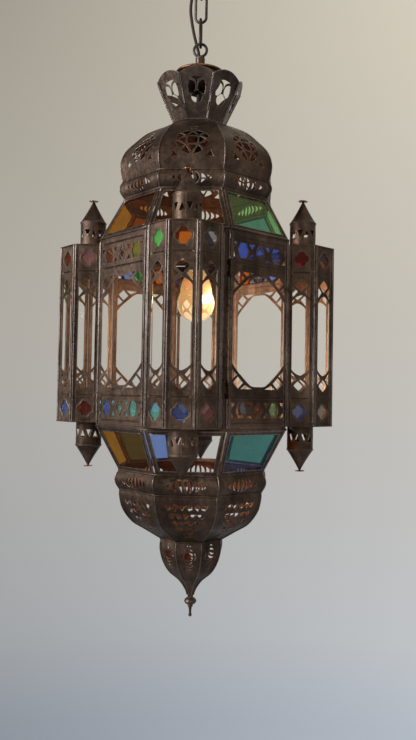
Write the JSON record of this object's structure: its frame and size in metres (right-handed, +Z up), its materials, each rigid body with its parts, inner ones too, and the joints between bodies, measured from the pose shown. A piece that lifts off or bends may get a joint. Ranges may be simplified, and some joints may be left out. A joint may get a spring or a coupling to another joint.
{
  "type": "hanging lantern",
  "caption": "Octagonal hanging lantern of pierced metal and coloured glass with turrets, dome, crown, hinged door, lamp, chain links and ceiling rose.",
  "frame": {"origin": "centre of the ceiling plate's upper face, where the lantern hangs from the ceiling", "axes": "+Z up, -Y towards the front turret, +X to the right as seen from the front"},
  "size_m": [0.4368, 0.4368, 1.0583],
  "materials": {
    "bronze": "dark patina, worn edges",
    "worn_bronze": "thin worn patina",
    "iron": "dull, oiled",
    "copper": "rubbed copper",
    "glass_red": "stained",
    "glass_amber": "stained",
    "glass_green": "stained",
    "glass_blue": "stained",
    "glass_violet": "stained",
    "glass_clear": "clear",
    "bulb_glass": "clear",
    "bulb_cap": "stamped",
    "lampholder": "moulded",
    "cord": "braided over rubber",
    "filament": "glowing"
  },
  "bodies": {
    "ceiling": {"ceiling_plate": "iron", "ceiling_rose": "bronze", "ceiling_hook": "iron"},
    "upper_link": {"upper_link": "iron"},
    "lower_link": {"lower_link": "iron", "lamp_cord": "cord"},
    "lantern": {"hanging_eye": "iron", "neck_cap": "bronze", "neck_tube": "bronze", "canopy_disc": "bronze", "disc_rim": "copper", "crown_petals": "worn_bronze", "crown_plate": "bronze", "stem_nuts": "iron", "lamp_stem": "iron", "dome_gores": "bronze", "skirt_band": "bronze", "roof_frames": "bronze", "hood_frames": "bronze", "slanted_glass_amber": "glass_amber", "slanted_glass_green": "glass_green", "slanted_glass_blue": "glass_blue", "slanted_glass_clear": "glass_clear", "top_rim": "bronze", "bottom_rim": "bronze", "corner_posts": "bronze", "hinge_post": "bronze", "window_panels": "bronze", "window_glass": "glass_clear", "front_turret": "bronze", "right_turret": "bronze", "rear_turret": "bronze", "left_turret": "bronze", "turret_plates": "bronze", "turret_glass": "glass_clear", "jewels_red": "glass_red", "jewels_amber": "glass_amber", "jewels_green": "glass_green", "jewels_blue": "glass_blue", "jewels_violet": "glass_violet", "jewels_clear": "glass_clear", "turret_caps": "bronze", "turret_drops": "bronze", "cap_nails": "copper", "lower_band": "bronze", "bowl_gores": "bronze", "onion_gores": "bronze", "finial": "worn_bronze", "lampholder": "lampholder", "bulb_glass": "bulb_glass", "bulb_cap": "bulb_cap", "bulb_filament": "filament", "hinge_pins": "iron"},
    "door": {"door_panel": "bronze", "door_glass": "glass_clear", "door_jewels_blue": "glass_blue", "door_jewels_amber": "glass_amber"},
    "latch": {"latch_hook": "iron"}
  },
  "joints": [
    {"name": "hook_swing", "type": "hinge", "parent": "ceiling", "child": "upper_link", "pos_m": [0, 0, -0.0577], "axis": [0, 1, 0], "range_deg": [-15, 15]},
    {"name": "link_swing", "type": "hinge", "parent": "upper_link", "child": "lower_link", "pos_m": [0, 0, -0.0976], "axis": [1, 0, 0], "range_deg": [-15, 15], "deforming": ["lamp_cord"]},
    {"name": "eye_swing", "type": "hinge", "parent": "lower_link", "child": "lantern", "pos_m": [0, 0, -0.1375], "axis": [0, 1, 0], "range_deg": [-15, 15]},
    {"name": "door_hinge", "type": "hinge", "parent": "lantern", "child": "door", "pos_m": [0.0614, -0.14822, -0.612], "axis": [0, 0, -1], "range_deg": [0, 110]},
    {"name": "latch_turn", "type": "hinge", "parent": "door", "child": "latch", "pos_m": [0.14322, -0.06538, -0.544], "axis": [0.7071, -0.7071, 0], "range_deg": [0, 75]}
  ]
}
